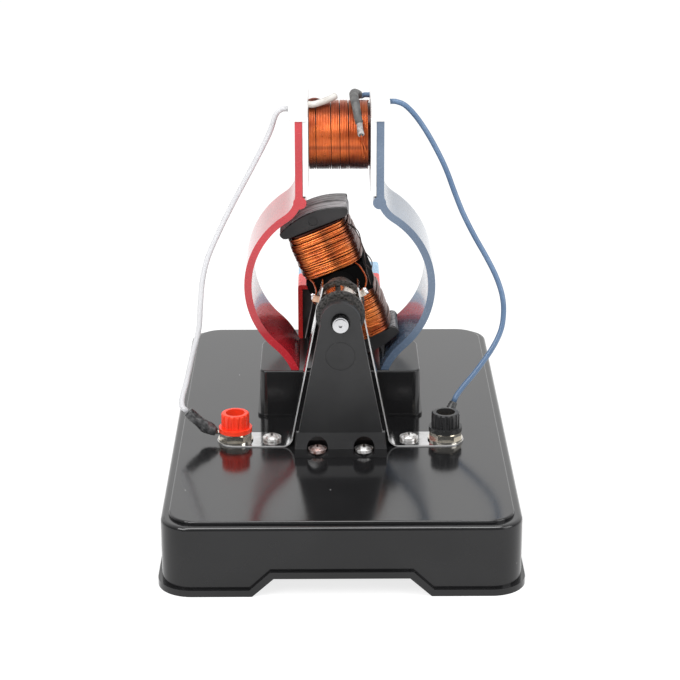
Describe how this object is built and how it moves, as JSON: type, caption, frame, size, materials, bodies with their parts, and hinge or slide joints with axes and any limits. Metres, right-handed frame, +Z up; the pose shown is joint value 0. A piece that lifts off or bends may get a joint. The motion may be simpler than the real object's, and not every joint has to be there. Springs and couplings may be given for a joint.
{
  "type": "demonstration electric motor",
  "caption": "Open classroom motor: wound armature between curved pole strips under a field coil, with commutator, leaf brushes and binding posts on a moulded base.",
  "frame": {"origin": "middle of the base's underside, on the table", "axes": "+X to the right and +Y to the back, along the shaft, seen from the commutator side; +Z up"},
  "size_m": [0.1064, 0.1734, 0.1247],
  "materials": {
    "base_black": "gloss",
    "seat_black": "gloss",
    "steel_screw": "polished",
    "pole_red": "satin",
    "pole_blue": "satin",
    "bracket_dark": "satin",
    "shaft_steel": "polished",
    "spacer_brass": "satin",
    "armature_iron": "satin",
    "former_black": "satin",
    "copper_winding": "satin",
    "copper_wire": "varnished",
    "commutator_black": "matte",
    "segment_copper": "polished",
    "segment_bright": "polished",
    "brush_steel": "polished",
    "post_brass": "satin",
    "washer_steel": "polished",
    "insert_brass": "satin",
    "knob_red": "satin",
    "knob_black": "satin",
    "shrink_grey": "satin",
    "bobbin_white": "satin",
    "core_iron": "satin",
    "sleeve_white": "satin",
    "sleeve_grey": "satin",
    "wire_white": "gloss",
    "wire_blue": "gloss",
    "magnet_black": "matte",
    "magnet_red": "satin",
    "magnet_blue": "satin"
  },
  "bodies": {
    "frame": {"base": "base_black", "pole_seat": "seat_black", "seat_screws": "steel_screw", "red_pole": "pole_red", "blue_pole": "pole_blue", "front_bracket": "bracket_dark", "rear_bracket": "bracket_dark", "front_bracket_screws": "steel_screw", "rear_bracket_screws": "steel_screw", "left_brush": "brush_steel", "right_brush": "brush_steel", "brush_screws": "steel_screw", "binding_posts": "post_brass", "post_washers": "washer_steel", "post_nuts": "washer_steel", "under_nuts": "post_brass", "red_lug": "washer_steel", "black_lug": "washer_steel", "white_boot": "shrink_grey", "blue_boot": "shrink_grey", "coil_bobbin": "bobbin_white", "coil_core": "core_iron", "field_winding": "copper_winding", "field_turns": "copper_wire", "white_sleeve": "sleeve_white", "grey_sleeve": "sleeve_grey", "white_lead": "wire_white", "blue_lead": "wire_blue", "blue_tail": "wire_blue", "magnet_block": "magnet_black", "magnet_red_sleeve": "magnet_red", "magnet_blue_sleeve": "magnet_blue"},
    "rotor": {"shaft": "shaft_steel", "front_spacer": "spacer_brass", "rear_spacer": "spacer_brass", "armature_core": "armature_iron", "front_former": "former_black", "rear_former": "former_black", "upper_winding": "copper_winding", "lower_winding": "copper_winding", "upper_turns": "copper_wire", "lower_turns": "copper_wire", "commutator_hub": "commutator_black", "left_segment": "segment_copper", "right_segment": "segment_bright"},
    "red_rise": {"red_insert": "insert_brass"},
    "red_turn": {"red_knob": "knob_red"},
    "black_rise": {"black_insert": "insert_brass"},
    "black_turn": {"black_knob": "knob_black"}
  },
  "joints": [
    {"name": "rotor_spin", "type": "hinge", "parent": "frame", "child": "rotor", "pos_m": [0, 0, 0.0648], "axis": [0, 1, 0], "continuous": true},
    {"name": "red_knob_rise", "type": "slide", "parent": "frame", "child": "red_rise", "axis": [0, 0, 1], "range_m": [0, 0.00421]},
    {"name": "red_knob_turn", "type": "hinge", "parent": "red_rise", "child": "red_turn", "pos_m": [-0.0326, -0.022, 0.0253], "axis": [0, 0, 1], "range_deg": [0, 2160]},
    {"name": "black_knob_rise", "type": "slide", "parent": "frame", "child": "black_rise", "axis": [0, 0, 1], "range_m": [0, 0.00421]},
    {"name": "black_knob_turn", "type": "hinge", "parent": "black_rise", "child": "black_turn", "pos_m": [0.0326, -0.022, 0.0253], "axis": [0, 0, 1], "range_deg": [0, 2160]}
  ],
  "couplings": [
    {"joint": "red_knob_rise", "follows": "red_knob_turn", "m_per_rad": 0.00011141},
    {"joint": "black_knob_rise", "follows": "black_knob_turn", "m_per_rad": 0.00011141}
  ]
}
